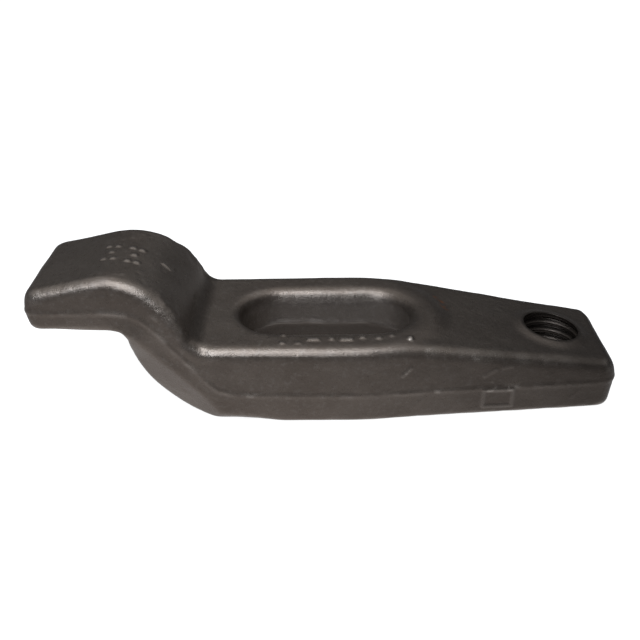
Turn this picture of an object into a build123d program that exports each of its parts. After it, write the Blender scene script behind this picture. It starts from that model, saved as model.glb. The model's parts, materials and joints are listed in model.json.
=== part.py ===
from build123d import *
import os

# Gooseneck strap clamp: one drop forging with a raised toe, a slotted body for
# the hold-down stud and a tapped hole in the heel for a levelling screw.
# Frame: origin under the middle of the forging, on the base plane.
# X runs along the clamp, toe at -X and heel at +X. Z is up. Y is across.

os.makedirs("parts", exist_ok=True)

# Overall sizes
overall_length = 138.6
body_width = 38.1
body_height = 20.4
toe_width = 30.0
heel_width = 27.8
heel_height = 12.5

# Toe and gooseneck, seen from the side
toe_underside = 23.2
toe_tip_height = 33.0
toe_top_slope = 12.5
arch_radius = 18.5
arch_centre = Vector(-49.9, 17.8)
valley_radius = 5.0
belly_radius = 19.5
belly_centre = Vector(-27.2, belly_radius)
toe_corner_radius = 2.0

# Top of the body, seen from the side: level, then sloping to the heel
slope_start_x = 16.7
slope_start_radius = 60.0

# Outline seen from above: narrow toe, flare, parallel body, taper to the heel
flare_start_x = -50.8
flare_end_x = -26.8
taper_start_x = 9.7
tip_corner_radius = 3.2
heel_corner_radius = 4.5

# Flat relief on each side of the gooseneck's belly. Its upper edge runs down
# the side wall from relief_top to relief_foot, and it leans in under the belly.
relief_top = Vector(-46.0, -15.6, 22.4)
relief_foot = Vector(-26.8, -18.9, 4.7)
relief_lean = 32.0
relief_length = 34.0
relief_depth = 30.0

# Parting plane of the dies, and the lean of every wall below it
parting_height = 8.0
draft = 5.0

# Stud slot and the raised washer pad around its heel end
slot_width = 17.5
slot_length = 39.5
slot_centre_x = -0.8
slot_rim_radius = 2.6
slot_web_height = 11.8
slot_draft = 7.0
slot_foot_radius = 1.2
pad_radius = 18.6
pad_centre_x = 11.7
pad_skirt = 2.6
pad_skirt_angle = 40.0

# Tapped heel hole, 5/8-11 UNC, drawn at its minor diameter, inside a raised lip
tap_radius = 6.75
tap_centre_x = 55.4
lip_radius = 9.0
lip_height = 0.8
lip_angle = 62.0
lip_foot_radius = 1.5
lip_crest_radius = 0.4
bottom_sink = 1.2

# Forged edge rounding, and the plane where the neck joins the body
top_edge_radius = 2.4
bottom_edge_radius = 1.0
neck_end_x = -25.3
base_edge_start_x = -22.2

# Tolerances for picking faces and edges
near = 0.01

toe_tip_x = -overall_length / 2
heel_end_x = overall_length / 2
half_width = body_width / 2
heel_slope = (body_height - heel_height) / (heel_end_x - slope_start_x)
top_at_tap = body_height - heel_slope * (tap_centre_x - slope_start_x)
valley_x = arch_centre.X + (arch_radius**2 - (body_height - arch_centre.Y) ** 2) ** 0.5
above_all = 2 * toe_tip_height


def on_circle(centre, radius, angle):
    """Point of a circle at an angle from straight up, positive towards the toe."""
    return centre + Vector(0, radius).rotate(Axis.Z, angle)


def upper_edges(faces):
    """Edges where the upper surfaces meet the upright walls."""
    upper = faces.filter_by(lambda f: f.normal_at(f.center()).Z > near)
    upright = faces.filter_by(lambda f: abs(f.normal_at(f.center()).Z) < near)
    return ShapeList([e for e in upper.edges() if e in upright.edges()])


with BuildPart() as neck:
    # Side view of the toe, the arch and the belly
    arch_start = on_circle(arch_centre, arch_radius, toe_top_slope)
    valley = Vector(valley_x, body_height)
    belly_side = on_circle(belly_centre, belly_radius, 90)
    belly_foot = on_circle(belly_centre, belly_radius, 180)
    toe_corner = Vector(belly_side.X, toe_underside)
    with BuildSketch(Plane.XZ) as neck_side:
        with BuildLine() as neck_outline:
            Polyline(belly_foot, (neck_end_x, 0), (neck_end_x, body_height), valley)
            ThreePointArc(valley, on_circle(arch_centre, arch_radius, -45), arch_start)
            Polyline(
                arch_start,
                (toe_tip_x, toe_tip_height),
                (toe_tip_x, toe_underside),
                toe_corner,
                belly_side,
            )
            ThreePointArc(belly_side, on_circle(belly_centre, belly_radius, 135), belly_foot)
        make_face()
        fillet(neck_side.vertices().sort_by_distance(valley)[0], valley_radius)
        fillet(neck_side.vertices().sort_by_distance(toe_corner)[0], toe_corner_radius)
    extrude(amount=half_width, both=True)

    # Seen from above: the narrow toe and the flare
    with BuildSketch(Plane.XY) as neck_plan:
        with BuildLine() as neck_plan_outline:
            Polyline(
                (toe_tip_x, 0),
                (toe_tip_x, toe_width / 2),
                (flare_start_x, toe_width / 2),
                (flare_end_x, half_width),
                (neck_end_x, half_width),
                (neck_end_x, 0),
            )
            mirror(about=Plane.XZ)
        make_face()
        fillet(neck_plan.vertices().group_by(Axis.X)[0], tip_corner_radius)
    extrude(amount=above_all, mode=Mode.INTERSECT)

    neck_edges = upper_edges(neck.faces())
    fillet(neck_edges.filter_by(lambda e: e.center().X < neck_end_x - near), top_edge_radius)

with BuildPart() as body:
    # Side view of the body and the sloping heel
    slope_start = Vector(slope_start_x, body_height)
    with BuildSketch(Plane.XZ) as body_side:
        with BuildLine() as body_outline:
            Polyline(
                (neck_end_x, 0),
                (neck_end_x, body_height),
                slope_start,
                (heel_end_x, heel_height),
                (heel_end_x, 0),
                close=True,
            )
        make_face()
        fillet(body_side.vertices().sort_by_distance(slope_start)[0], slope_start_radius)
    extrude(amount=half_width, both=True)

    # Seen from above: parallel sides, then the taper
    with BuildSketch(Plane.XY) as body_plan:
        with BuildLine() as body_plan_outline:
            Polyline(
                (neck_end_x, 0),
                (neck_end_x, half_width),
                (taper_start_x, half_width),
                (heel_end_x, heel_width / 2),
                (heel_end_x, 0),
            )
            mirror(about=Plane.XZ)
        make_face()
        fillet(body_plan.vertices().group_by(Axis.X)[-1], heel_corner_radius)
    extrude(amount=above_all, mode=Mode.INTERSECT)

    body_edges = upper_edges(body.faces())
    fillet(body_edges.filter_by(lambda e: e.center().X > neck_end_x + near), top_edge_radius)

with BuildPart() as trim:
    # Everything outside the lower die, whose cavity narrows from the parting plane
    Box(
        2 * overall_length,
        2 * body_width,
        parting_height,
        align=(Align.CENTER, Align.CENTER, Align.MIN),
    )
    parting_plane = Plane((0, 0, parting_height), x_dir=(1, 0, 0), z_dir=(0, 0, -1))
    with BuildSketch(parting_plane) as cavity:
        with BuildLine() as cavity_outline:
            Polyline(
                (flare_start_x, 0),
                (flare_start_x, toe_width / 2),
                (flare_end_x, half_width),
                (taper_start_x, half_width),
                (heel_end_x, heel_width / 2),
                (heel_end_x, 0),
            )
            mirror(about=Plane.XZ)
        make_face()
        fillet(cavity.vertices().group_by(Axis.X)[-1], heel_corner_radius)
    extrude(amount=parting_height, taper=draft, mode=Mode.SUBTRACT)

with BuildPart() as clamp_body:
    add(neck.part)
    add(body.part, clean=False)
    add(trim.part, mode=Mode.SUBTRACT, clean=False)

    # Flat relief under each side of the gooseneck
    for side in (-1, 1):
        relief_start = Vector(relief_top.X, side * relief_top.Y, relief_top.Z)
        relief_end = Vector(relief_foot.X, side * relief_foot.Y, relief_foot.Z)
        relief_run = relief_end - relief_start
        under = Vector(0, 1, 0).cross(relief_run)
        inward = under.rotate(Axis((0, 0, 0), relief_run), side * relief_lean)
        outward = inward.cross(relief_run) * side
        with BuildSketch(Plane(relief_start, x_dir=relief_run, z_dir=outward)) as relief:
            with Locations((relief_length / 2, 0)):
                Rectangle(relief_length, 2 * relief_depth)
        extrude(amount=relief_depth, mode=Mode.SUBTRACT, clean=False)

    # Rounded lower edges of the body, the heel and the toe
    base = clamp_body.faces().sort_by(Axis.Z)[0]
    base_rim = base.edges().filter_by(lambda e: e.center().X > base_edge_start_x)
    fillet(base_rim, bottom_edge_radius)
    facing_down = clamp_body.faces().filter_by(lambda f: f.normal_at(f.center()).Z < near - 1)
    toe_sole = facing_down.sort_by(Axis.X)[0]
    fillet(toe_sole.edges().filter_by(lambda e: e.center().X < flare_start_x), bottom_edge_radius)

    # Washer pad: the level top runs on to a round end about the slot's end
    with BuildSketch(Plane.XY.offset(body_height - pad_skirt)) as pad:
        with Locations((pad_centre_x, 0)):
            Circle(pad_radius)
    extrude(amount=pad_skirt, taper=pad_skirt_angle, clean=False)

    # Stud slot: punched through at the web, widening upwards, with rounded rims
    with BuildSketch(Plane.XY) as slot:
        with Locations((slot_centre_x, 0)):
            SlotOverall(slot_length, slot_width)
    extrude(amount=above_all, mode=Mode.SUBTRACT, clean=False)
    with BuildSketch(Plane.XY.offset(slot_web_height)) as slot_cavity:
        with Locations((slot_centre_x, 0)):
            SlotOverall(slot_length, slot_width)
    extrude(
        amount=body_height - slot_web_height,
        taper=-slot_draft,
        mode=Mode.SUBTRACT,
        clean=False,
    )
    slot_sides = clamp_body.edges().filter_by(
        lambda e: abs(e.center().Y) < slot_width / 2 + slot_rim_radius
        and abs(e.center().X - slot_centre_x) < near
    )
    fillet(slot_sides.group_by(Axis.Z)[-1], slot_rim_radius)
    fillet(slot_sides.group_by(Axis.Z)[0], slot_foot_radius)

    # Lip standing on the sloping heel
    heel_top = Plane((tap_centre_x, 0, top_at_tap), x_dir=(1, 0, -heel_slope), z_dir=(heel_slope, 0, 1))
    with BuildSketch(heel_top):
        Circle(lip_radius)
    extrude(amount=lip_height, taper=lip_angle, clean=False)
    lip_circles = clamp_body.edges().filter_by(GeomType.CIRCLE).filter_by(
        lambda e: abs(e.arc_center.X - tap_centre_x) < lip_height
    )
    lip_circles = lip_circles.sort_by(Axis.Z)
    fillet(lip_circles[0], lip_foot_radius)
    fillet(lip_circles[-1], lip_crest_radius)

    # Heel hole, countersunk underneath
    with Locations((tap_centre_x, 0, above_all)):
        Hole(tap_radius)
    tap_foot = clamp_body.edges().filter_by(GeomType.CIRCLE).filter_by(
        lambda e: abs(e.arc_center.X - tap_centre_x) < near
    )
    chamfer(tap_foot.sort_by(Axis.Z)[0], bottom_sink)

clamp_body.part.label = "clamp_body"
export_step(clamp_body.part, "parts/clamp_body.step")
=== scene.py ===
import json
import math

import bmesh
import bpy
import numpy as np
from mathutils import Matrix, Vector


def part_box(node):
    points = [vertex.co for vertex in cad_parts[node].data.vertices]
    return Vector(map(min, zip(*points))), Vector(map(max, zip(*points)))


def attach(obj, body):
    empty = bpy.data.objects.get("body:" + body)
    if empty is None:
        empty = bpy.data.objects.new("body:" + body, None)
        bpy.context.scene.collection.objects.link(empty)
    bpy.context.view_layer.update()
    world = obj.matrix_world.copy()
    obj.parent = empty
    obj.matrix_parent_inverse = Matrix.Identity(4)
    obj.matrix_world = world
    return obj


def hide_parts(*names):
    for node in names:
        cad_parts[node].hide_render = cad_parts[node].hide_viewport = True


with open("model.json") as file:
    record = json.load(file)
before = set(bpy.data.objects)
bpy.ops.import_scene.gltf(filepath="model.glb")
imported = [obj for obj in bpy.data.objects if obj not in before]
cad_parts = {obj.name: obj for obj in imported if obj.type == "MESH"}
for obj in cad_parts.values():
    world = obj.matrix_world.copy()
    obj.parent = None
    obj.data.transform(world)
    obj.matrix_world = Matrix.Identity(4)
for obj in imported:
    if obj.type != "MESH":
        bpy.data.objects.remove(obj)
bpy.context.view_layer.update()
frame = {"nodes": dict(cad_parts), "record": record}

import openvdb
from mathutils import Matrix, Vector

box_low, box_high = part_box("clamp_body")
mounts = {mount["name"]: mount for mount in frame["record"]["mounts"]}

# All shaping below is in millimetres in the row frame; MM turns it into metres.
MM = 0.001
TOE_TIP = box_low.x / MM
HEEL_END = box_high.x / MM
PAD_TOP = mounts["washer_pad"]["pos_m"][2] / MM
HOLE_X = mounts["heel_thread"]["pos_m"][0] / MM
HOLE_RADIUS = mounts["heel_thread"]["dims"]["r_mm"]
SLOT_X = mounts["stud_slot"]["pos_m"][0] / MM

SLOT_HALF_WIDTH = 8.75
SLOT_HALF_RUN = 11.0          # half the distance between the slot's end centres
SLOT_RIM = 2.6                # radius of the slot's upper rim
SLOT_WEB = 11.8               # height at which the slot's web was punched out
SLOT_DRAFT = math.tan(math.radians(7.0))
PAD_X = 11.7                  # centre of the pad's round end
SLOPE_START = 16.7            # where the top starts to slope down to the heel
HEEL_HEIGHT = 12.5
HALF_WIDTH = box_high.y / MM
PARTING_BODY = 8.0            # height of the parting line along the body
LOWER_DRAFT = math.tan(math.radians(5.0))
SLOPE = (PAD_TOP - HEEL_HEIGHT) / (HEEL_END - SLOPE_START)

# Parting line: level along the toe, down the neck, level along the body
PARTING_X = [
    TOE_TIP, -48.5, -45.5, -42.6, -40.4, -38.4, -36.1, -32.7, -28.4, -26.2, -22.0, 9.7, HEEL_END,
]
PARTING_Z = [28.1, 28.3, 28.0, 27.0, 25.2, 23.0, 20.1, 16.5, 11.3, 9.6, 8.2, PARTING_BODY, 7.7]
OUTER_WALL = (9.6, 13.0)      # distance from the middle over which the outer walls begin
STEP_RISE = 3.0               # height of the neck's second step above the parting line

# ---------------------------------------------------------------- numbers

def smoothstep(low, high, value):
    """0 below low, 1 above high, smooth between. low may be above high."""
    t = np.clip((value - low) / (high - low), 0.0, 1.0)
    return t * t * (3.0 - 2.0 * t)


def lattice(ix, iy, iz, seed):
    """A repeatable number from 0 to 1 for each lattice point."""
    h = (ix * 374761393 + iy * 668265263 + iz * 2147483647 + seed * 1274126177) & 0xFFFFFFFF
    h = ((h ^ (h >> 13)) * 1274126177) & 0xFFFFFFFF
    h = (h ^ (h >> 16)) & 0xFFFFFFFF
    return h / 4294967295.0


def noise(points, cell, seed):
    """Smooth value noise from -1 to 1, one bump about every cell."""
    scaled = points / cell
    base = np.floor(scaled).astype(np.int64)
    f = scaled - base
    f = f * f * f * (f * (f * 6.0 - 15.0) + 10.0)
    total = np.zeros(len(points))
    for dx in (0, 1):
        for dy in (0, 1):
            for dz in (0, 1):
                corner = lattice(base[:, 0] + dx, base[:, 1] + dy, base[:, 2] + dz, seed)
                weight = (
                    (f[:, 0] if dx else 1.0 - f[:, 0])
                    * (f[:, 1] if dy else 1.0 - f[:, 1])
                    * (f[:, 2] if dz else 1.0 - f[:, 2])
                )
                total += corner * weight
    return total * 2.0 - 1.0


def beyond_slot_ends(x):
    """How far x lies past the slot's nearer end centre."""
    return np.maximum(np.abs(x - SLOT_X) - SLOT_HALF_RUN, 0.0)


def parting_line(x):
    """Height and steepness of the parting line along the forging."""
    line = np.interp(x, PARTING_X, PARTING_Z)
    return line, np.interp(x, PARTING_X, np.gradient(PARTING_Z, PARTING_X))


def second_step(points, off_line):
    """The neck's second step: distance from its line, 1 where it can run, and how broken it is."""
    x, y = points[:, 0], points[:, 1]
    reach = smoothstep(-47.0, -44.0, x) * smoothstep(-31.0, -34.0, x)
    return off_line - STEP_RISE, reach * smoothstep(*OUTER_WALL, np.abs(y)), noise(points, 2.0, 35)


def slope_top(x):
    """Height of the plane that slopes down to the heel."""
    return PAD_TOP - SLOPE * np.maximum(x - SLOPE_START, 0.0)


# ---------------------------------------------------------------- meshes

def mesh_points(mesh):
    points = np.empty(len(mesh.vertices) * 3)
    mesh.vertices.foreach_get("co", points)
    return points.reshape(-1, 3)


def mesh_normals(mesh):
    normals = np.empty(len(mesh.vertices) * 3)
    mesh.vertex_normals.foreach_get("vector", normals)
    return normals.reshape(-1, 3)


def mesh_edges(mesh):
    edges = np.empty(len(mesh.edges) * 2, dtype=np.int64)
    mesh.edges.foreach_get("vertices", edges)
    return edges.reshape(-1, 2)


def mesh_triangles(mesh):
    mesh.calc_loop_triangles()
    triangles = np.empty(len(mesh.loop_triangles) * 3, dtype=np.int32)
    mesh.loop_triangles.foreach_get("vertices", triangles)
    return triangles.reshape(-1, 3)


def mesh_object(name, points, faces):
    """Object from an array of points in millimetres and a list of faces."""
    mesh = bpy.data.meshes.new(name)
    mesh.from_pydata((points * MM).tolist(), [], faces)
    mesh.update()
    made = bpy.data.objects.new(name, mesh)
    bpy.context.scene.collection.objects.link(made)
    return made


def move_points(mesh, points):
    mesh.vertices.foreach_set("co", (points * MM).ravel())
    mesh.update()


def averaged(values, edges, rounds, strength):
    """Values at the vertices, averaged with their neighbours along the edges."""
    a, b = edges[:, 0], edges[:, 1]
    count = np.bincount(a, minlength=len(values)) + np.bincount(b, minlength=len(values))
    count = np.maximum(count, 1)
    values = values.reshape(len(values), -1)
    for _ in range(rounds):
        total = np.empty_like(values)
        for k in range(values.shape[1]):
            total[:, k] = np.bincount(a, values[b, k], len(values))
            total[:, k] += np.bincount(b, values[a, k], len(values))
        values = values + strength * (total / count[:, None] - values)
    return values


def apply_modifiers(obj):
    """Replaces the object's mesh by its evaluated one."""
    graph = bpy.context.evaluated_depsgraph_get()
    mesh = bpy.data.meshes.new_from_object(obj.evaluated_get(graph))
    old = obj.data
    obj.modifiers.clear()
    obj.data = mesh
    bpy.data.meshes.remove(old)


# ---------------------------------------------------------------- rounding the forging

VOXEL = 0.47                  # cell of the forging's mesh
BAND = 3.0                    # cells of distance kept on each side of the surface
GRID_MARGIN = 2               # empty cells left round the forging
UNTOUCHED = -9.0              # distance that leaves the surface as it is
EDGE_ROUNDING = 0.6           # radius given to every edge that CAD leaves sharp
CORNER_FILLING = 1.0          # radius given to every inner corner
PLUG_RADIUS = 11.0            # heel hole's surroundings, filled before the tap is cut
PAD_FADE = (18.8, 13.2)       # distance from the pad's centre over which it rises
END_RIM = 4.2                 # radius that the slot's rim grows to at the heel end
LIP_HEIGHT = 0.8              # lip pushed up round the heel hole
LIP_FADE = (9.6, 7.2)         # distance from the hole over which the lip rises
BELLY_FOOT = (-24.0, -4.0)    # stretch in X over which the belly's soft foot dies away
BELLY_CHAMFER = 2.0           # leg of that soft foot


def level_set(points, faces, half_width):
    """Distance field of a closed mesh, in millimetres."""
    cells = openvdb.createLinearTransform(voxelSize=VOXEL)
    points = np.ascontiguousarray(points, dtype=np.float32)
    faces = np.ascontiguousarray(faces, dtype=np.uint32)
    if faces.shape[1] == 4:
        return openvdb.FloatGrid.createLevelSetFromPolygons(
            points, quads=faces, transform=cells, halfWidth=half_width)
    return openvdb.FloatGrid.createLevelSetFromPolygons(
        points, triangles=faces, transform=cells, halfWidth=half_width)


def shifted(points, faces, distance):
    """The mesh grown by a distance, or shrunk where it is negative."""
    grid = level_set(points, faces, abs(distance) / VOXEL + BAND)
    return grid.convertToQuads(isovalue=distance)


def die_corrected(points, faces):
    """The mesh as the dies leave it: heel hole filled, and a softer pad end, slot end and belly."""
    grid = level_set(points, faces, BAND)
    low, high = grid.evalActiveVoxelBoundingBox()
    low = np.array(low) - GRID_MARGIN
    shape = np.array(high) + GRID_MARGIN + 1 - low
    values = np.empty(shape, dtype=np.float32)
    grid.copyToArray(values, ijk=tuple(int(v) for v in low))
    axes = [(low[k] + np.arange(shape[k])) * VOXEL for k in range(3)]
    x, y, z = np.meshgrid(*axes, indexing="ij")

    # Heel hole filled up to its lip
    tilt = math.cos(math.atan(SLOPE))
    from_hole = np.hypot(x - HOLE_X, y)
    lip = LIP_HEIGHT * smoothstep(*LIP_FADE, from_hole)
    plug = np.maximum(from_hole - PLUG_RADIUS, (z - slope_top(x) - lip) * tilt)
    plug = np.maximum(plug, -z)
    values = np.minimum(values, plug)

    # Pad fading out into the slope
    from_pad = np.hypot(x - PAD_X, y)
    rise = (PAD_TOP - slope_top(x)) * smoothstep(*PAD_FADE, from_pad)
    lid = (z - slope_top(x) - np.maximum(rise, lip)) * tilt
    values = np.maximum(values, np.where(x > SLOPE_START - 1.0, lid, UNTOUCHED))

    # Slot's upper rim, with a larger radius round the heel end
    run = beyond_slot_ends(x)
    turned = np.where(x > SLOT_X, run, 0.0) / np.maximum(np.hypot(run, y), 1.0)
    round_end = smoothstep(0.1, 0.9, turned)
    rim = SLOT_RIM + (END_RIM - SLOT_RIM) * round_end
    top_wall = SLOT_HALF_WIDTH + (PAD_TOP - SLOT_WEB) * SLOT_DRAFT
    beside = np.maximum(rim - np.hypot(run, y) + top_wall - 0.5 * (rim - SLOT_RIM), 0.0)
    under = np.maximum(rim - PAD_TOP + z, 0.0)
    corner = np.where((beside > 0.0) & (under > 0.0), np.hypot(beside, under) - rim, UNTOUCHED)
    values = np.maximum(values, corner)

    # Belly's soft foot
    leg = BELLY_CHAMFER * smoothstep(BELLY_FOOT[1], BELLY_FOOT[0], x)
    foot = (np.abs(y) - HALF_WIDTH + LOWER_DRAFT * PARTING_BODY - z + leg) * math.sqrt(0.5)
    values = np.maximum(values, np.where(x < BELLY_FOOT[1], foot, UNTOUCHED))

    values = np.clip(values, -BAND * VOXEL, BAND * VOXEL).astype(np.float32)
    filled = openvdb.FloatGrid(BAND * VOXEL)
    filled.transform = grid.transform
    filled.gridClass = openvdb.GridClass.LEVEL_SET
    filled.copyFromArray(values, ijk=tuple(int(v) for v in low))
    return filled.convertToQuads(isovalue=0.0)


def rolled(points, faces):
    """Rounds outer edges and inner corners, as a ball rolled over them would."""
    points, faces = shifted(points, faces, -EDGE_ROUNDING)
    points, faces = shifted(points, faces, EDGE_ROUNDING + CORNER_FILLING)
    return shifted(points, faces, -CORNER_FILLING)


cad_mesh = frame["nodes"]["clamp_body"].data
points, faces = die_corrected(mesh_points(cad_mesh) / MM, mesh_triangles(cad_mesh))
points, faces = rolled(points, faces)
forging = mesh_object("forged_clamp", points, faces[:, ::-1].tolist())

# ---------------------------------------------------------------- raised marks

# Plain ribs and pips where the dies left raised marks. Each is
# (face, along, across, half length, half width, turn in degrees, height).
# Along is X. Across is Y on the "top" and Z on the "side", which is the -Y wall.
MARKS = [
    ("top", -10.8, -11.7, 0.15, 0.45, 0, 0.24),
    ("top", -11.0, -15.4, 0.20, 0.45, 0, 0.26),
    ("top", -7.4, -15.4, 0.35, 0.40, 0, 0.16),
    ("top", -3.8, -13.9, 1.10, 0.50, 0, 0.32),
    ("top", 0.4, -13.6, 0.15, 0.50, 0, 0.30),
    ("top", 3.9, -14.0, 1.10, 0.50, 0, 0.32),
    ("top", 7.6, -13.2, 0.25, 0.50, 0, 0.28),
    ("top", 11.4, -13.6, 0.25, 0.48, 0, 0.26),
    ("top", 14.5, -12.6, 0.10, 0.45, 0, 0.20),
    ("top", 18.7, -13.9, 0.15, 0.60, 0, 0.50),
    ("top", -52.9, 3.6, 0.25, 0.55, 0, 0.26),
    ("top", -50.6, 3.4, 0.25, 0.55, 0, 0.26),
    ("top", -51.5, 0.2, 0.25, 0.55, 0, 0.22),
    ("top", -52.8, -3.2, 0.25, 0.55, 0, 0.24),
    ("top", -50.5, -3.2, 0.25, 0.55, 0, 0.26),
    ("top", -46.9, 3.0, 0.30, 0.55, 0, 0.28),
    ("top", -44.7, 2.6, 0.30, 0.55, 0, 0.30),
    ("top", -46.0, -0.6, 0.30, 0.55, 0, 0.26),
    ("top", -46.9, -4.0, 0.30, 0.55, 0, 0.30),
    ("top", -44.8, -4.0, 0.30, 0.55, 0, 0.28),
    ("top", -38.6, 0.0, 0.90, 0.45, -24, 0.26),
    ("side", 36.5, 5.0, 2.2, 0.30, 90, 0.15),
    ("side", 43.6, 4.8, 2.2, 0.30, 90, 0.15),
    ("side", 40.0, 7.3, 3.6, 0.30, -1, 0.18),
    ("side", 40.2, 2.5, 3.6, 0.30, -1, 0.15),
    ("side", 37.6, 12.2, 1.6, 0.30, 32, 0.08),
    ("side", 41.6, 13.6, 1.1, 0.30, 12, 0.08),
    ("side", 17.8, 14.0, 1.4, 0.20, 46, 0.14),
]
MARK_FLANK = 0.55             # width of the slope round each mark


def mark_height(points, normals):
    """How far the marks stand up at each point."""
    height = np.zeros(len(points))
    on_top = smoothstep(0.3, 0.6, normals[:, 2])
    on_side = smoothstep(-0.5, -0.8, normals[:, 1])
    for face, along, across, length, width, turn, rise in MARKS:
        other = points[:, 1] if face == "top" else points[:, 2]
        u, v = points[:, 0] - along, other - across
        c, s = math.cos(math.radians(turn)), math.sin(math.radians(turn))
        reach = np.hypot(
            np.maximum(np.abs(u * c + v * s) - length, 0.0),
            np.maximum(np.abs(v * c - u * s) - width * 0.4, 0.0),
        )
        shape = rise * smoothstep(width * 0.6 + MARK_FLANK, 0.0, reach)
        height = np.maximum(height, shape * (on_top if face == "top" else on_side))
    return height


def refine_near_marks(obj):
    """Splits the cells under the marks, so that the ribs have room for their shape."""
    mesh = bmesh.new()
    mesh.from_mesh(obj.data)
    mesh.normal_update()
    verts = list(mesh.verts)
    co = np.array([v.co for v in verts]) / MM
    normals = np.array([v.normal for v in verts])
    marked = mark_height(co, normals) > 0.0
    for vert, hit in zip(verts, marked):
        vert.tag = bool(hit)
    edges = {e for f in mesh.faces if any(v.tag for v in f.verts) for e in f.edges}
    edges = sorted(edges, key=lambda e: e.index)
    bmesh.ops.subdivide_edges(mesh, edges=edges, cuts=1, use_grid_fill=True)
    mesh.to_mesh(obj.data)
    mesh.free()
    obj.data.update()


refine_near_marks(forging)

# ---------------------------------------------------------------- forged surface

UPPER_DRAFT = math.tan(math.radians(1.3))
NECK_END = -24.0              # beyond it CAD already has the draft of the lower die
FLASH = 0.20                  # height of the trimmed flash along the parting line
VALLEY = (-31.4, 21.6)        # X and Z of the crease behind the gooseneck
THROAT = (-45.5, 21.5)        # X and Z of the inner corner under the toe
NECK_TEAR = (-42.0, -29.0)    # stretch of the neck's front edge that the trimming tore


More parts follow.
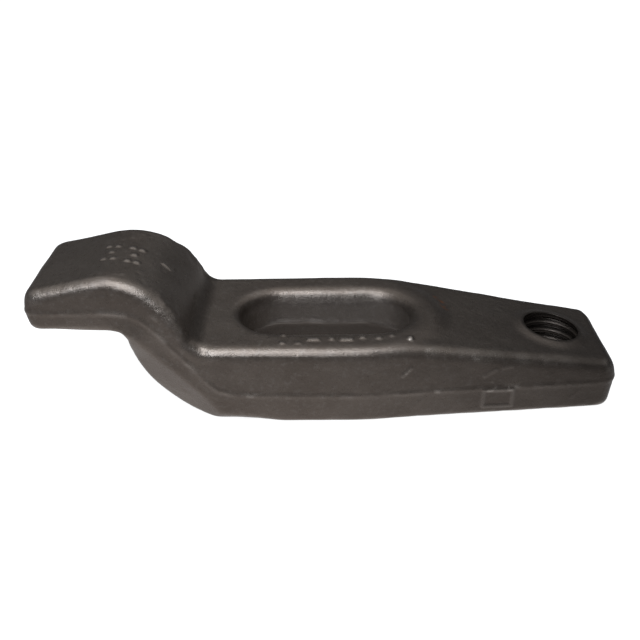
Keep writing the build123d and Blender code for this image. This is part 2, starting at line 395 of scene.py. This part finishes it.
def shape_forging(points, normals):
    """Draft, barrelling, flash, slot web, torn neck, marks and forged unevenness."""
    x, y, z = points[:, 0], points[:, 1], points[:, 2]
    line, steepness = parting_line(x)
    above = np.maximum(z - line, 0.0)
    below = np.maximum(line - z, 0.0)
    upright = smoothstep(0.75, 0.35, np.abs(normals[:, 2]))
    outer = smoothstep(*OUTER_WALL, np.abs(y))
    at_toe = smoothstep(TOE_TIP + 3.5, TOE_TIP + 0.5, x)
    at_heel = smoothstep(HEEL_END - 3.5, HEEL_END - 0.5, x)
    on_neck = smoothstep(NECK_END, NECK_END - 8.0, x)
    moved = points.copy()

    # Draft of both dies, on the long walls and on the two ends
    lean = above * UPPER_DRAFT + np.minimum(below, 4.0) * 0.6 * LOWER_DRAFT * on_neck
    moved[:, 1] -= np.sign(y) * lean * outer
    moved[:, 0] -= 0.5 * np.exp(-(((z - line) / 3.2) ** 2)) * at_toe
    moved[:, 0] += lean * at_toe * 0.6
    moved[:, 0] -= 0.75 * smoothstep(0.4, 4.5, z - line) * at_heel

    # Slightly barrelled body, full arch and full shoulders beside the valley
    barrel = 0.50 * np.exp(-(((x + 1.0) / 17.0) ** 2))
    barrel += 0.45 * np.exp(-(((x + 32.5) / 4.0) ** 2)) * smoothstep(16.0, 22.0, z)
    throat = np.hypot(x - THROAT[0], z - THROAT[1])
    barrel += 0.55 * smoothstep(6.5, 1.0, throat)
    moved[:, 1] += np.sign(y) * barrel * outer
    moved[:, 2] += 0.45 * smoothstep(-52.0, -66.0, x) * smoothstep(26.0, 23.2, z)
    moved[:, 2] += 0.28 * np.exp(-(((x + 51.0) / 8.0) ** 2)) * smoothstep(26.0, 32.0, z)

    # Trimmed flash, uneven along the parting line
    off_line = (z - line) / np.sqrt(1.0 + steepness ** 2)
    along = np.stack([x, y * 0.3, np.zeros_like(x)], axis=1)
    ragged = 0.62 + 0.30 * noise(along, 4.3, 5) + 0.22 * noise(along, 1.5, 6)
    flash = FLASH * np.exp(-((off_line / 0.55) ** 4)) * np.clip(ragged, 0.0, 1.2)
    flash *= upright * np.maximum(outer, np.maximum(at_toe, at_heel))
    flat_normal = normals * np.array([1.0, 1.0, 0.0])
    moved += flat_normal * flash[:, None]

    # A second, broken step above it down the neck
    band, reach, broken = second_step(points, off_line)
    step = 0.15 * np.exp(-((band / 0.6) ** 4)) * np.clip(0.3 + broken, 0.0, 1.0)
    moved += flat_normal * (step * upright * reach)[:, None]

    # Slot wall: leans back above and below the punched web's ragged line
    run = beyond_slot_ends(x)
    from_slot = np.hypot(run, y) - SLOT_HALF_WIDTH - SLOT_DRAFT * np.maximum(z - SLOT_WEB, 0.0)
    in_slot = smoothstep(2.6, 1.0, np.abs(from_slot)) * smoothstep(16.0, 12.0, np.abs(y))
    out_x = np.where(run > 0.0, np.sign(x - SLOT_X) * run, 0.0)
    out = np.stack([out_x, y, np.zeros_like(y)], axis=1)
    out /= np.maximum(np.linalg.norm(out, axis=1), 1e-6)[:, None]
    wall = np.stack([x, y, z * 0.2], axis=1)
    web = SLOT_WEB - 0.3 + 0.75 * noise(wall, 6.0, 21) + 0.22 * noise(wall, 3.0, 22)
    torn = 0.65 + 0.35 * noise(wall, 3.1, 23)
    back = 0.075 * np.maximum(web - z, 0.0)
    back += 0.22 * smoothstep(web, web - 0.7, z)
    back -= 0.34 * torn * np.exp(-(((z - web - 0.1) / 0.6) ** 2))
    back *= in_slot * smoothstep(0.9, 0.6, np.abs(normals[:, 2]))
    moved += out * back[:, None]

    # Torn, stepped edge down the front of the neck
    on_edge = smoothstep(0.1, 0.35, normals[:, 2]) * smoothstep(0.95, 0.75, normals[:, 2])
    torn_stretch = smoothstep(NECK_TEAR[0] - 2.0, NECK_TEAR[0] + 2.0, x) * smoothstep(
        NECK_TEAR[1] + 1.5, NECK_TEAR[1] - 1.5, x)
    tear = 0.15 * noise(points, 2.6, 41) + 0.05 * noise(points, 1.3, 42) - 0.08
    moved += normals * (tear * on_edge * outer * torn_stretch)[:, None]

    # Unevenness of the scale and the dies, less on the faces that bear a load
    bearing = smoothstep(0.8, 0.0, z) + smoothstep(-0.95, -0.99, normals[:, 2])
    pad_face = smoothstep(0.6, 0.1, np.abs(z - PAD_TOP)) * smoothstep(0.9, 0.99, normals[:, 2])
    free = 1.0 - np.clip(bearing + 0.35 * pad_face, 0.0, 1.0)
    swell = 0.10 * noise(points, 13.0, 1) + 0.055 * noise(points, 5.2, 2)
    swell += 0.022 * noise(points, 2.1, 3)
    pits = smoothstep(0.42, 0.85, noise(points, 1.5, 4))
    pits *= smoothstep(-0.1, 0.5, noise(points, 9.0, 7))
    up = (swell - 0.01) * free - 0.06 * pits * free
    up += mark_height(points, normals)
    return moved + normals * up[:, None]


mesh = forging.data
points = averaged(mesh_points(mesh) / MM, mesh_edges(mesh), 2, 0.4)
move_points(mesh, points)
normals = averaged(mesh_normals(mesh), mesh_edges(mesh), 2, 0.7)
normals /= np.linalg.norm(normals, axis=1)[:, None]
move_points(mesh, shape_forging(points, normals))

# ---------------------------------------------------------------- tapped heel hole

PITCH = 25.4 / 11.0           # 5/8-11 UNC
MAJOR_RADIUS = 25.4 * 5.0 / 8.0 / 2.0
TAP_COLUMNS = 96
TAP_ROWS = 14                 # rows in each pitch
FLANK = math.tan(math.radians(30.0))
FOOT_SINK = 1.2               # countersink on the base
FIRST_THREAD = (0.4, 2.6)     # depth below the lip over which the thread grows to its full height
MOUTH_CHAMFER = 0.15          # broken edge at the hole's mouth
CUTTER_BOTTOM = -1.0
CUTTER_CLEARANCE = 4.0        # how far the cutter stands above the heel
HOLE_TOP = float(slope_top(np.array(HOLE_X)))


def tap_radius(turn, z):
    """Radius of the cut at an angle in turns and a height."""
    place = (z / PITCH - turn) % 1.0
    flank = (np.abs(place - 0.5) * PITCH - PITCH / 16.0) / FLANK
    crest = slope_top(HOLE_X + HOLE_RADIUS * np.cos(turn * 2.0 * math.pi)) + LIP_HEIGHT
    major = HOLE_RADIUS + (MAJOR_RADIUS - HOLE_RADIUS) * smoothstep(*FIRST_THREAD, crest - z)
    thread = np.clip(MAJOR_RADIUS - np.maximum(flank, 0.0), HOLE_RADIUS, major)
    entry = HOLE_RADIUS + MOUTH_CHAMFER - (crest - z)
    foot = HOLE_RADIUS + FOOT_SINK - z
    return np.maximum(np.maximum(thread, entry), foot)


def tap_cutter():
    """Closed mesh of all that the tap, the mouth's broken edge and the countersink take away."""
    bottom, top = CUTTER_BOTTOM, HOLE_TOP + CUTTER_CLEARANCE
    rows = int(round((top - bottom) / PITCH * TAP_ROWS)) + 1
    z = np.linspace(bottom, top, rows)[:, None]
    turn = (np.arange(TAP_COLUMNS) / TAP_COLUMNS)[None, :]
    radius = tap_radius(turn, z)
    angle = turn * 2.0 * math.pi
    ring = np.stack([
        HOLE_X + radius * np.cos(angle),
        radius * np.sin(angle),
        np.broadcast_to(z, radius.shape),
    ], axis=2).reshape(-1, 3)
    i = np.arange(rows - 1)[:, None] * TAP_COLUMNS
    j = np.arange(TAP_COLUMNS)[None, :]
    k = (j + 1) % TAP_COLUMNS
    walls = np.stack([i + j, i + k, i + k + TAP_COLUMNS, i + j + TAP_COLUMNS], axis=2)
    walls = walls.reshape(-1, 4)
    points = np.vstack([ring, [[HOLE_X, 0.0, bottom]], [[HOLE_X, 0.0, top]]])
    faces = walls.tolist()
    last = (rows - 1) * TAP_COLUMNS
    for a in range(TAP_COLUMNS):
        b = (a + 1) % TAP_COLUMNS
        faces.append([b, a, len(ring)])
        faces.append([last + a, last + b, len(ring) + 1])
    return mesh_object("tap", points, faces)


def dissolve_two_edge_points(obj):
    """Removes points that lie between two faces only, where triangles could fold over."""
    mesh = bmesh.new()
    mesh.from_mesh(obj.data)
    bmesh.ops.dissolve_verts(mesh, verts=[v for v in mesh.verts if len(v.link_edges) == 2])
    mesh.to_mesh(obj.data)
    mesh.free()
    obj.data.update()


tap = tap_cutter()
cut = forging.modifiers.new("tap", "BOOLEAN")
cut.operation = "DIFFERENCE"
cut.solver = "MANIFOLD"
cut.object = tap
apply_modifiers(forging)
bpy.data.objects.remove(tap, do_unlink=True)
dissolve_two_edge_points(forging)
mesh = forging.data
mesh.polygons.foreach_set("use_smooth", np.ones(len(mesh.polygons), dtype=bool))

# ---------------------------------------------------------------- wear, painted light and painted shade

# Places where the scale is rubbed off: (x, y, z, reach)
RUBBED = [
    (-18.5, -19.0, 8.3, 2.6), (-12.6, -19.0, 8.2, 1.0), (-1.8, -19.0, 7.9, 1.0),
    (25.5, -17.8, 8.2, 1.6), (38.0, -16.6, 7.9, 3.0), (43.0, -16.1, 7.8, 3.0),
    (17.8, -18.4, 14.0, 1.4), (-65.1, -14.1, 33.3, 1.4), (-40.4, -16.1, 32.4, 1.3),
    (-31.5, -17.4, 20.3, 1.0), (34.1, -16.5, 16.7, 1.6), (23.0, -17.3, 18.7, 1.8),
    (18.7, -13.9, 20.6, 1.2),
]
# Places with a spot of rust, in the same form
RUSTED = [(27.7, 8.5, 18.7, 1.5), (29.4, 4.2, 18.6, 2.2), (28.6, 6.6, 18.6, 1.2)]


def near_any(points, places):
    """1 at the listed places, fading to 0 over their reach."""
    value = np.zeros(len(points))
    for x, y, z, reach in places:
        distance = np.linalg.norm(points - np.array([x, y, z]), axis=1)
        value = np.maximum(value, smoothstep(reach, reach * 0.2, distance))
    return value


def store(mesh, name, values):
    """Keeps a share from 0 to 1 for each point, which the material reads by name."""
    attribute = mesh.attributes.new(name, "FLOAT", "POINT")
    attribute.data.foreach_set("value", np.clip(values, 0.0, 1.0).astype(np.float32))


def store_wear(mesh):
    """Writes how worn or lit by painted light, how dark in hollows or by painted shade, and how
    rusty, threaded and dull the surface is at each point.
    """
    points = mesh_points(mesh) / MM
    normals = mesh_normals(mesh)
    edges = mesh_edges(mesh)
    x, y, z = points[:, 0], points[:, 1], points[:, 2]
    smooth_normals = averaged(normals, edges, 4, 0.7)
    facing_up = smooth_normals[:, 2]
    steep = np.abs(facing_up)

    # How far the surface stands out of its surroundings
    soft = averaged(points, edges, 10, 0.6)
    bulge = averaged(((points - soft) * normals).sum(axis=1), edges, 1, 0.6)[:, 0]

    # Inside the heel hole
    from_hole = np.hypot(x - HOLE_X, y)
    below_lip = slope_top(x) + 0.6 - z
    mouth = np.maximum(smoothstep(0.0, 1.0, below_lip), smoothstep(7.6, 7.2, from_hole))
    threaded = smoothstep(8.4, 8.0, from_hole) * mouth

    # Inside the slot, where light and shade are painted on the wall
    from_wall = np.abs(np.hypot(beyond_slot_ends(x), y) - SLOT_HALF_WIDTH - 0.6)
    slot_wall = smoothstep(3.2, 2.0, from_wall) * smoothstep(0.75, 0.35, steep)
    toe_end = smoothstep(-13.0, -18.5, x)
    over_web = smoothstep(SLOT_WEB - 0.8, SLOT_WEB + 0.2, z)
    # Painted shade just under the highlight on the slot's rim
    under_rim = smoothstep(0.62, 0.45, facing_up) * smoothstep(0.13, 0.22, facing_up)
    under_rim *= (1.0 - toe_end) * smoothstep(16.0, 11.0, x)

    # Along the parting line
    line, steepness = parting_line(x)
    off_line = (z - line) / np.sqrt(1.0 + steepness ** 2)
    ridge = np.exp(-((off_line / 0.75) ** 2)) * smoothstep(*OUTER_WALL, np.abs(y))
    ridge *= smoothstep(-0.3, 0.7, noise(points, 2.6, 34))
    on_neck = smoothstep(-54.0, -50.0, x) * smoothstep(-20.0, -26.0, x)
    band, reach, broken = second_step(points, off_line)
    step = np.exp(-((band / 0.7) ** 2)) * smoothstep(-0.1, 0.6, broken) * reach

    # The arch's side towards the heel, lit by painted light; the heel's long edges and the valley
    # behind the neck, darkened by painted shade
    arch_back_painted_light = smoothstep(-47.0, -41.0, x) * smoothstep(-33.5, -36.5, x)
    # Painted shade along the heel's upper edges, where the highlight falls
    heel_edge_painted_shade = smoothstep(26.0, 42.0, x) * smoothstep(9.8, 11.0, from_hole)
    heel_edge_painted_shade *= smoothstep(0.3, 0.6, facing_up) * smoothstep(0.975, 0.9, facing_up)
    valley = np.hypot((x - VALLEY[0]) * 0.8, z - VALLEY[1])

    rubbed = near_any(points, RUBBED)
    rubbed *= smoothstep(-0.1, 0.6, 4.0 * bulge + 0.6 * noise(points, 0.8, 32))
    on_edges = smoothstep(0.05, 0.22, bulge + 0.04 * noise(points, 3.0, 31))
    wear_and_painted_light = np.maximum.reduce([
        0.7 * on_edges * (1.0 - 0.6 * threaded),
        0.7 * rubbed,
        0.45 * np.clip(mark_height(points, normals) / 0.35, 0.0, 1.0),
        # Painted light on the slot wall above the web
        0.16 * slot_wall * over_web * (1.0 - toe_end),
        # Painted light on the arch's side towards the heel
        0.17 * arch_back_painted_light * smoothstep(0.1, 0.4, facing_up),
        ridge * (0.12 + 0.36 * on_neck),
        0.5 * step,
    ])
    # Darker in concave places; painted shade below the slot's web and at its toe end, in the
    # valley, along the heel's upper edges and under the slot's rim
    hollow_dark_and_painted_shade = np.maximum.reduce([
        0.6 * smoothstep(0.02, 0.16, -bulge),
        slot_wall * np.maximum(0.66 * (1.0 - over_web), 0.08 * toe_end),
        0.35 * smoothstep(2.6, 0.6, valley),
        0.55 * heel_edge_painted_shade,
        0.36 * slot_wall * under_rim,
    ])
    store(mesh, "wear_and_painted_light", wear_and_painted_light)
    store(mesh, "hollow_dark_and_painted_shade", hollow_dark_and_painted_shade)
    store(mesh, "rust", near_any(points, RUSTED) * smoothstep(-0.2, 0.5, noise(points, 0.9, 33)))
    store(mesh, "threaded", threaded)
    store(mesh, "dull", slot_wall * smoothstep(0.4, 0.2, steep))


store_wear(mesh)

# ---------------------------------------------------------------- material

DARK_SCALE = (0.135, 0.112, 0.095, 1.0)
LIGHT_SCALE = (0.173, 0.148, 0.128, 1.0)
SCALE_FLECK = (0.27, 0.25, 0.235, 1.0)
SCALE_PIT = (0.05, 0.042, 0.036, 1.0)
# Dark colour for painted shade (towards the heel, in the valley, slot and along the heel's edges)
# and for darkening in hollows
PAINTED_SHADE_AND_HOLLOW_DARK = (0.040, 0.034, 0.030, 1.0)
# Colour of bare, worn steel, also used for painted light
BARE_STEEL_AND_PAINTED_LIGHT = (0.34, 0.31, 0.285, 1.0)
# Painted shade inside the tapped hole
THREAD_PAINTED_SHADE = (0.034, 0.028, 0.024, 1.0)
RUST = (0.30, 0.11, 0.04, 1.0)
HEEL_PAINTED_SHADE = (-0.005, 0.062)      # stretch in X, in metres, over which painted shade darkens the scale towards the heel


def forged_steel():
    """Oxide scale: bright where worn and where light is painted on, darker in hollows, with painted
    shade towards the heel and in creases, and spots of rust.
    """
    material = bpy.data.materials.new("forged_steel")
    material.use_nodes = True
    tree = material.node_tree
    nodes, links = tree.nodes, tree.links
    shader = nodes["Principled BSDF"]
    place = nodes.new("ShaderNodeTexCoord")

    def texture(scale, detail, roughness):
        node = nodes.new("ShaderNodeTexNoise")
        node.inputs["Scale"].default_value = scale
        node.inputs["Detail"].default_value = detail
        node.inputs["Roughness"].default_value = roughness
        links.new(place.outputs["Object"], node.inputs["Vector"])
        return node.outputs["Fac"]

    def attribute(name):
        node = nodes.new("ShaderNodeAttribute")
        node.attribute_name = name
        return node.outputs["Fac"]

    def spread(value, low, high, to_low, to_high):
        node = nodes.new("ShaderNodeMapRange")
        node.inputs["From Min"].default_value = low
        node.inputs["From Max"].default_value = high
        node.inputs["To Min"].default_value = to_low
        node.inputs["To Max"].default_value = to_high
        links.new(value, node.inputs["Value"])
        return node.outputs["Result"]

    def mixed(share, first, second):
        node = nodes.new("ShaderNodeMix")
        node.data_type = "RGBA"
        links.new(share, node.inputs["Factor"])
        for socket, colour in ((node.inputs["A"], first), (node.inputs["B"], second)):
            if isinstance(colour, tuple):
                socket.default_value = colour
            else:
                links.new(colour, socket)
        return node.outputs["Result"]

    def maths(operation, first, second):
        node = nodes.new("ShaderNodeMath")
        node.operation = operation
        for socket, value in ((node.inputs[0], first), (node.inputs[1], second)):
            if isinstance(value, float):
                socket.default_value = value
            else:
                links.new(value, socket)
        return node.outputs["Value"]

    cloud = texture(55.0, 4.0, 0.6)
    grain = texture(900.0, 5.0, 0.7)
    speck = texture(2600.0, 3.0, 0.7)

    scale = mixed(spread(cloud, 0.35, 0.65, 0.0, 1.0), DARK_SCALE, LIGHT_SCALE)
    scale = mixed(spread(grain, 0.52, 0.72, 0.0, 0.35), scale, SCALE_FLECK)
    scale = mixed(spread(speck, 0.58, 0.75, 0.0, 0.5), scale, SCALE_PIT)
    # Painted shade: the scale darkens towards the heel, where the light falls off
    along = nodes.new("ShaderNodeSeparateXYZ")
    links.new(place.outputs["Object"], along.inputs["Vector"])
    heel_painted_shade = spread(along.outputs["X"], *HEEL_PAINTED_SHADE, 0.0, 0.66)
    scale = mixed(heel_painted_shade, scale, PAINTED_SHADE_AND_HOLLOW_DARK)
    # Worn steel, and painted light on the slot wall and the arch's back
    bare_and_painted_light = mixed(attribute("wear_and_painted_light"), scale, BARE_STEEL_AND_PAINTED_LIGHT)
    # Darkening in hollows, and painted shade in the slot, valley, heel edges and under the rim
    with_painted_shade = mixed(maths("MULTIPLY", attribute("hollow_dark_and_painted_shade"), 0.8), bare_and_painted_light, PAINTED_SHADE_AND_HOLLOW_DARK)
    # Painted shade: the thread is painted almost black
    thread_painted_shade = mixed(maths("MULTIPLY", attribute("threaded"), 0.9), with_painted_shade, THREAD_PAINTED_SHADE)
    rusty = mixed(maths("MULTIPLY", attribute("rust"), 0.75), thread_painted_shade, RUST)
    links.new(rusty, shader.inputs["Base Color"])

    rough = spread(grain, 0.3, 0.7, 0.26, 0.36)
    rough = maths("SUBTRACT", rough, maths("MULTIPLY", attribute("wear_and_painted_light"), 0.06))
    rough = maths("ADD", rough, maths("MULTIPLY", attribute("threaded"), 0.06))
    rough = maths("ADD", rough, maths("MULTIPLY", attribute("dull"), 0.22))
    links.new(rough, shader.inputs["Roughness"])
    shader.inputs["Metallic"].default_value = 0.9
    shader.inputs["Specular IOR Level"].default_value = 0.75

    bump = nodes.new("ShaderNodeBump")
    bump.inputs["Strength"].default_value = 0.7
    bump.inputs["Distance"].default_value = 0.00012
    links.new(maths("ADD", grain, maths("MULTIPLY", speck, 0.6)), bump.inputs["Height"])
    links.new(bump.outputs["Normal"], shader.inputs["Normal"])
    return material


mesh.materials.clear()
mesh.materials.append(forged_steel())
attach(forging, "root")
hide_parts("clamp_body")

# ---------------------------------------------------------------- floor and light

size = Vector(box_high) - Vector(box_low)
centre = (Vector(box_high) + Vector(box_low)) / 2
FLOOR_SIZE = 60.0             # in lengths of the clamp
LIGHT_REACH = 4.5             # distance of the lights, in lengths of the clamp
COOL = (0.94, 1.0, 1.08)
WHITE = (1.0, 1.0, 1.0)

# Brightness of the room from straight below (0) to straight above (1)
ROOM_LEVELS = (
    (0.0, 0.75), (0.16, 0.58), (0.26, 0.38), (0.36, 0.255),
    (0.52, 0.132), (0.70, 0.053), (1.0, 0.041),
)


def floor():
    """Pale table with a little light of its own, so that it stays even."""
    bpy.ops.mesh.primitive_plane_add(size=FLOOR_SIZE * size.x, location=(0.0, 0.0, box_low.z))
    plane = bpy.context.object
    plane.name = "floor"
    material = bpy.data.materials.new("floor")
    material.use_nodes = True
    shader = material.node_tree.nodes["Principled BSDF"]
    shader.inputs["Base Color"].default_value = (0.42, 0.42, 0.42, 1.0)
    shader.inputs["Roughness"].default_value = 1.0
    shader.inputs["Specular IOR Level"].default_value = 0.0
    shader.inputs["Emission Color"].default_value = (1.0, 1.0, 1.0, 1.0)
    shader.inputs["Emission Strength"].default_value = 0.86
    plane.data.materials.append(material)
    plane.visible_glossy = False      # the dim room, and not the table, shows in the steel


def softbox(name, direction, distance, width, height, radiance, colour):
    """A rectangular light that faces the clamp. radiance is what a mirror would show."""
    data = bpy.data.lights.new(name, "AREA")
    data.shape = "RECTANGLE"
    data.size = width
    data.size_y = height
    data.energy = radiance * math.pi * width * height
    data.color = colour
    light = bpy.data.objects.new(name, data)
    bpy.context.scene.collection.objects.link(light)
    away = Vector(direction).normalized()
    light.location = centre + away * distance
    light.rotation_mode = "QUATERNION"
    light.rotation_quaternion = away.to_track_quat("Z", "Y")


floor()
reach = LIGHT_REACH * size.x
softbox("key", (-0.29, -0.75, 1.0), reach, 0.45 * reach, 1.20 * reach, 5.4, COOL)
softbox("window", (0.45, -1.0, 0.28), reach, 0.5 * reach, 0.3 * reach, 0.25, WHITE)


def studio():
    """Dim room: lighter towards the table below, a little darker to the right."""
    world = bpy.data.worlds.new("studio")
    world.use_nodes = True
    nodes, links = world.node_tree.nodes, world.node_tree.links
    place = nodes.new("ShaderNodeTexCoord")
    split = nodes.new("ShaderNodeSeparateXYZ")
    links.new(place.outputs["Generated"], split.inputs["Vector"])
    ramp = nodes.new("ShaderNodeValToRGB")
    stops = ramp.color_ramp.elements
    for position, level in ROOM_LEVELS:
        stop = stops.new(position)
        stop.color = (level, level * 0.975, level * 0.98, 1.0)
    stops.remove(stops[-1])
    stops.remove(stops[0])
    height = nodes.new("ShaderNodeMapRange")
    height.inputs["From Min"].default_value = -1.0
    height.inputs["From Max"].default_value = 1.0
    links.new(split.outputs["Z"], height.inputs["Value"])
    links.new(height.outputs["Result"], ramp.inputs["Fac"])
    side = nodes.new("ShaderNodeMapRange")
    side.inputs["From Min"].default_value = -0.4
    side.inputs["From Max"].default_value = 0.7
    side.inputs["To Min"].default_value = 1.0
    side.inputs["To Max"].default_value = 0.85
    links.new(split.outputs["X"], side.inputs["Value"])
    background = nodes["Background"]
    links.new(ramp.outputs["Color"], background.inputs["Color"])
    links.new(side.outputs["Result"], background.inputs["Strength"])
    return world


bpy.context.scene.world = studio()
bpy.context.scene.view_settings.view_transform = "Standard"

# ---------------------------------------------------------------- camera

PITCH_DOWN = 0.526079         # angles in radians
YAW = -0.001368
ROLL = -0.008184
FOCAL = 1.254616              # focal length as a share of the picture's width
STAND = Vector((-0.002024, -0.172689, 0.117709))      # in metres

look = Vector((
    math.sin(YAW) * math.cos(PITCH_DOWN),
    math.cos(YAW) * math.cos(PITCH_DOWN),
    -math.sin(PITCH_DOWN),
))
right = look.cross(Vector((0.0, 0.0, 1.0))).normalized()
up = right.cross(look)
rolled_right = right * math.cos(ROLL) + up * math.sin(ROLL)
rolled_up = up * math.cos(ROLL) - right * math.sin(ROLL)
camera_data = bpy.data.cameras.new("camera")
camera_data.sensor_width = 36.0
camera_data.lens = FOCAL * camera_data.sensor_width
camera_data.clip_start = 0.01
camera_data.clip_end = 50.0
camera = bpy.data.objects.new("camera", camera_data)
bpy.context.scene.collection.objects.link(camera)
turned = Matrix((rolled_right, rolled_up, -look)).transposed()
camera.matrix_world = Matrix.Translation(STAND) @ turned.to_4x4()
bpy.context.scene.camera = camera
